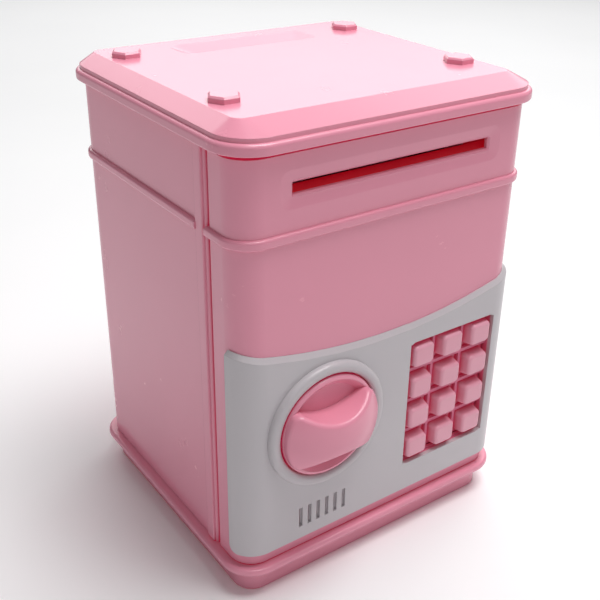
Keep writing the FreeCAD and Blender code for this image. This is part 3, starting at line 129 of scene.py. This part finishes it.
class Recipe:
    """A material being put together: short calls add nodes and wire them."""

    def __init__(self, name):
        self.material = bpy.data.materials.new(name)
        self.material.use_nodes = True
        self.tree = self.material.node_tree
        self.shader = self.tree.nodes["Principled BSDF"]
        self.where = self.add("ShaderNodeTexCoord").outputs["Object"]

    def add(self, kind, inputs=None, **settings):
        """A new node, with its own settings and the values of its inputs."""
        node = self.tree.nodes.new(kind)
        for key, value in settings.items():
            setattr(node, key, value)
        for key, value in (inputs or {}).items():
            node.inputs[key].default_value = value
        return node

    def wire(self, start, end):
        self.tree.links.new(start, end)

    def feed(self, name, source):
        """Let a node's output drive one input of the shader."""
        self.wire(source, self.shader.inputs[name])

    def set(self, **values):
        """Set inputs of the shader, with an underscore for each space in their names."""
        for key, value in values.items():
            self.shader.inputs[key.replace("_", " ")].default_value = value

    def mapped(self, **inputs):
        """The object's own coordinates, turned or stretched."""
        made = self.add("ShaderNodeMapping", inputs)
        self.wire(self.where, made.inputs["Vector"])
        return made.outputs["Vector"]

    def noise(self, scale, detail=4.0, rough=0.5, where=None):
        made = self.add("ShaderNodeTexNoise", {"Scale": scale, "Detail": detail, "Roughness": rough})
        self.wire(self.where if where is None else where, made.inputs["Vector"])
        return made.outputs["Fac"]

    def ramp(self, source, low, high, low_at=0.3, high_at=0.7):
        """Colour low up to low_at, colour high from high_at on, and a blend between them."""
        made = self.add("ShaderNodeValToRGB")
        ends = made.color_ramp.elements
        ends[0].position = low_at
        ends[1].position = high_at
        ends[0].color = (*low, 1)
        ends[1].color = (*high, 1)
        self.wire(source, made.inputs["Fac"])
        return made.outputs["Color"]

    def spread(self, source, low, high):
        """Stretch a value that runs from 0 to 1 over the range from low to high."""
        made = self.add("ShaderNodeMapRange", {"To Min": low, "To Max": high})
        self.wire(source, made.inputs["Value"])
        return made.outputs["Result"]

    def step(self, source, low, high):
        """Smooth step from 0 at low to 1 at high, which may be the smaller of the two."""
        limits = {"From Min": low, "From Max": high}
        made = self.add("ShaderNodeMapRange", limits, interpolation_type="SMOOTHSTEP")
        self.wire(source, made.inputs["Value"])
        return made.outputs["Result"]

    def mix(self, share, low, high):
        """Blend two colours, each a fixed one or a node's output."""
        made = self.add("ShaderNodeMix", data_type="RGBA")
        self.wire(share, made.inputs["Factor"])
        for socket, value in ((made.inputs[MIX_LOW], low), (made.inputs[MIX_HIGH], high)):
            if isinstance(value, tuple):
                socket.default_value = (*value, 1)
            else:
                self.wire(value, socket)
        return made.outputs[MIX_RESULT]

    def rounded(self, radius):
        """Shade sharp edges as if they had the small radius of a moulding."""
        made = self.add("ShaderNodeBevel", {"Radius": radius}, samples=EDGE_SAMPLES)
        self.feed("Normal", made.outputs["Normal"])

    def gap_shade_mask(self, reach):
        """Ambient occlusion: 1 on open faces, falling to 0 in narrow gaps and deep corners; the mask for
        painted gap shade and glow.
        """
        made = self.add("ShaderNodeAmbientOcclusion", {"Distance": reach}, samples=GAP_SAMPLES)
        return made.outputs["AO"]

    def bump(self, source, strength, distance):
        """Fine relief, on top of what already shapes the shader's normal."""
        made = self.add("ShaderNodeBump", {"Strength": strength, "Distance": distance})
        self.wire(source, made.inputs["Height"])
        normal = self.shader.inputs["Normal"]
        if normal.is_linked:
            self.wire(normal.links[0].from_socket, made.inputs["Normal"])
        self.feed("Normal", made.outputs["Normal"])


def tint(colour, factor):
    """The colour made lighter or darker."""
    return tuple(min(1.0, part * factor) for part in colour)


def moulded(name, colour, rough, coat=0.0, grain=0.08, glow=None, least=0.0, dress=None):
    """Injection-moulded plastic: slow colour drift, faint orange peel and handling marks.

    With a glow colour, ambient occlusion paints narrow gaps in that deeper colour and makes them emit it:
    painted shade and glow. least is the painted glow that stays on open faces. dress changes the body
    colour by place.
    """
    recipe = Recipe(name)
    recipe.rounded(EDGE)
    drift = recipe.noise(DRIFT_SCALE, detail=3.0)
    body = recipe.ramp(drift, *(tint(colour, factor) for factor in DRIFT_TINTS))
    # Painted gap shade and glow: narrow gaps and deep corners take the glow colour and emit it, by
    # ambient occlusion.
    if glow:
        open_share = recipe.ramp(recipe.gap_shade_mask(GAP_REACH), BLACK, WHITE, GAP_SHUT, GAP_OPEN)
        body = recipe.mix(open_share, glow, body)
        recipe.feed("Emission Strength", recipe.spread(open_share, PAINTED_GAP_GLOW, least))
        recipe.set(Emission_Color=(*glow, 1))
    if dress:
        body = dress(recipe, body)
    recipe.feed("Base Color", body)
    marks = recipe.noise(MARKS_SCALE, detail=5.0, rough=0.55)
    recipe.feed("Roughness", recipe.spread(marks, *(rough * share for share in MARKS_ROUGH)))
    recipe.bump(recipe.noise(PEEL_SCALE, detail=2.0), grain, PEEL_DEPTH)
    recipe.bump(recipe.noise(RIPPLE_SCALE, detail=2.0), grain, RIPPLE_DEPTH)
    recipe.set(Coat_Weight=coat, Coat_Roughness=COAT_ROUGH, IOR=PLASTIC_IOR)
    return recipe.material


def paint_key_gap_light(recipe, body):
    """Painted shade and pink bounce light on the panel between the keys, by place in the panel."""
    first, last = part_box("key_1"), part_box("key_hash")
    left, front = first[0][0], first[0][1]
    right = last[1][0]
    parts = recipe.add("ShaderNodeSeparateXYZ")
    recipe.wire(recipe.where, parts.inputs["Vector"])
    share = recipe.step(parts.outputs["Y"], front + KEY_GAP_LIGHT_START, front + KEY_GAP_LIGHT_FULL)
    for outside, inside in ((left - KEY_GAP_LIGHT_EDGE, left), (right + KEY_GAP_LIGHT_EDGE, right)):
        both = recipe.add("ShaderNodeMath", operation="MULTIPLY")
        recipe.wire(share, both.inputs[0])
        recipe.wire(recipe.step(parts.outputs["X"], outside, inside), both.inputs[1])
        share = both.outputs[0]
    return recipe.mix(share, body, PAINTED_KEY_GAP_LIGHT)


def metal(name, colour, rough, brushed):
    """Plated or brushed metal with fine directional streaks."""
    recipe = Recipe(name)
    cloud = recipe.noise(CLOUD_SCALE)
    recipe.feed("Base Color", recipe.ramp(cloud, tint(colour, CLOUD_TINT), colour))
    streak = recipe.noise(STREAK_SCALE, detail=2.0, where=recipe.mapped(Scale=STREAK_STRETCH))
    recipe.feed("Roughness", recipe.spread(streak, *(rough * share for share in STREAK_ROUGH)))
    recipe.bump(streak, brushed, STREAK_DEPTH)
    recipe.set(Metallic=1.0)
    return recipe.material


def rubber(name, colour):
    """Dull rubber with a fine grain and a little dust."""
    recipe = Recipe(name)
    dust = recipe.noise(DUST_SCALE, detail=5.0, rough=0.7)
    recipe.feed("Base Color", recipe.ramp(dust, colour, tint(colour, DUST_TINT)))
    recipe.feed("Roughness", recipe.spread(dust, *RUBBER_ROUGH))
    recipe.bump(recipe.noise(RUBBER_SCALE, detail=3.0), RUBBER_BUMP, RUBBER_DEPTH)
    return recipe.material


def circuit(name):
    """Coated circuit board with fine copper runs under the lacquer."""
    recipe = Recipe(name)
    runs = recipe.add("ShaderNodeTexBrick", {
        "Scale": RUNS_SCALE,
        "Color1": (*BOARD_DARK, 1),
        "Color2": (*BOARD_LIGHT, 1),
        "Mortar": (*BOARD_RUN, 1),
        "Mortar Size": RUNS_WIDTH,
    })
    upright = recipe.mapped(Rotation=(math.pi / 2, 0, 0))
    recipe.wire(upright, runs.inputs["Vector"])
    recipe.feed("Base Color", runs.outputs["Color"])
    recipe.feed("Roughness", recipe.spread(recipe.noise(LACQUER_SCALE), *LACQUER_ROUGH))
    recipe.bump(runs.outputs["Fac"], RUNS_BUMP, RUNS_DEPTH)
    return recipe.material


looks = {
    "pink_gloss": moulded("pink_gloss_plastic", PINK, rough=0.26, coat=0.12, glow=PAINTED_GAP_SHADE),
    "key_pink": moulded("key_pink_plastic", KEY_PINK, rough=0.32, coat=0.1, glow=PAINTED_GAP_SHADE),
    # Painted shade and glow: the note guide is painted deep red and emits, standing in for the shade and
    # light deep in the slot.
    "note_guide": moulded("note_guide_painted_red", PAINTED_SLOT_RED, rough=0.4, glow=PAINTED_SLOT_RED, least=PAINTED_GUIDE_GLOW),
    # The panel gets painted shade and pink bounce light between the keys.
    "panel_white": moulded("panel_white_plastic", PANEL, rough=0.32, coat=0.1, dress=paint_key_gap_light),
    "white_plastic": moulded("white_gear_plastic", GEAR_WHITE, rough=0.4),
    "black_plastic": moulded("black_frame_plastic", FRAME_BLACK, rough=0.45, grain=0.4),
    "steel": metal("zinc_steel", STEEL, rough=0.3, brushed=0.3),
    "contact": metal("nickel_contacts", NICKEL, rough=0.22, brushed=0.1),
    "cell": moulded("battery_sleeve", SLEEVE, rough=0.25, coat=0.4),
    "mat_rubber": rubber("key_mat_rubber", MAT_GREY),
    "roller_rubber": rubber("roller_rubber", ROLLER_BLACK),
    "board": circuit("board_lacquer"),
}


def wear_looks():
    """Give every CAD node the look of its material slot; the pinch roller gets the guide's painted red
    and glow.
    """
    for entry in frame["record"]["subparts"]:
        node = nodes[entry["node"]]
        slot = "note_guide" if entry["node"] == "pinch_roller" else entry["material_slot"]
        node.data.materials.clear()
        node.data.materials.append(looks[slot])


# ---- floor, light and camera -----------------------------------------------------------------

def make_floor():
    """Plain pale floor just under the bank."""
    mesh = bpy.data.meshes.new("floor")
    shape = bmesh.new()
    sides = ((-1, -1), (1, -1), (1, 1), (-1, 1))
    corners = [shape.verts.new((x * FLOOR_HALF, y * FLOOR_HALF, -FLOOR_DROP)) for x, y in sides]
    shape.faces.new(corners)
    shape.to_mesh(mesh)
    shape.free()
    floor = bpy.data.objects.new("floor", mesh)
    bpy.context.scene.collection.objects.link(floor)
    recipe = Recipe("studio_floor")
    recipe.feed("Base Color", recipe.ramp(recipe.noise(FLOOR_SCALE), FLOOR_DARK, FLOOR_LIGHT))
    recipe.set(Roughness=FLOOR_ROUGH)
    mesh.materials.append(recipe.material)


def area_light(name, place, target, size, power):
    """White rectangular softbox, aimed at the target."""
    data = bpy.data.lights.new(name, "AREA")
    data.shape = "RECTANGLE"
    data.size, data.size_y = size
    data.energy = power
    lamp = bpy.data.objects.new(name, data)
    lamp.location = place
    aim = Vector(target) - Vector(place)
    lamp.rotation_euler = aim.to_track_quat("-Z", "Y").to_euler()
    bpy.context.scene.collection.objects.link(lamp)


def make_lights():
    """White surroundings, a main light above the front, a weak fill from the front left, and a
    wide light behind the bank, which the lid reflects."""
    world = bpy.data.worlds.new("studio")
    bpy.context.scene.world = world
    world.use_nodes = True
    sky = world.node_tree.nodes["Background"]
    sky.inputs["Color"].default_value = (*WHITE, 1)
    sky.inputs["Strength"].default_value = WORLD_STRENGTH
    area_light("top_softbox", place=(0.22, -0.18, 1.10), target=BANK_MIDDLE, size=(0.6, 0.6), power=9.5)
    area_light("fill_softbox", place=(-0.42, -0.62, 0.95), target=BANK_MIDDLE, size=(0.3, 0.6), power=0.8)
    area_light("back_softbox", place=(0.75, 1.05, 0.90), target=BANK_UPPER, size=(2.0, 1.0), power=12.0)


def make_camera():
    """Three-quarter view from the front left, looking down."""
    data = bpy.data.cameras.new("camera")
    data.sensor_width = CAMERA_SENSOR
    data.lens = CAMERA_LENS
    data.shift_x, data.shift_y = CAMERA_SHIFT
    data.clip_start = CAMERA_NEAREST
    camera = bpy.data.objects.new("camera", data)
    yaw, pitch, roll = (math.radians(angle) for angle in CAMERA_ANGLES)
    level = math.cos(pitch)
    ahead = Vector((-math.sin(yaw) * level, math.cos(yaw) * level, math.sin(pitch)))
    right = ahead.cross(Vector((0, 0, 1))).normalized()
    up = right.cross(ahead)
    side = right * math.cos(roll) + up * math.sin(roll)
    rise = up * math.cos(roll) - right * math.sin(roll)
    turn = Matrix((side, rise, -ahead)).transposed().to_4x4()
    camera.matrix_world = Matrix.Translation(CAMERA_PLACE) @ turn
    bpy.context.scene.collection.objects.link(camera)
    bpy.context.scene.camera = camera


wear_looks()
bpy.context.scene.view_settings.view_transform = "Standard"
make_floor()
make_lights()
make_camera()
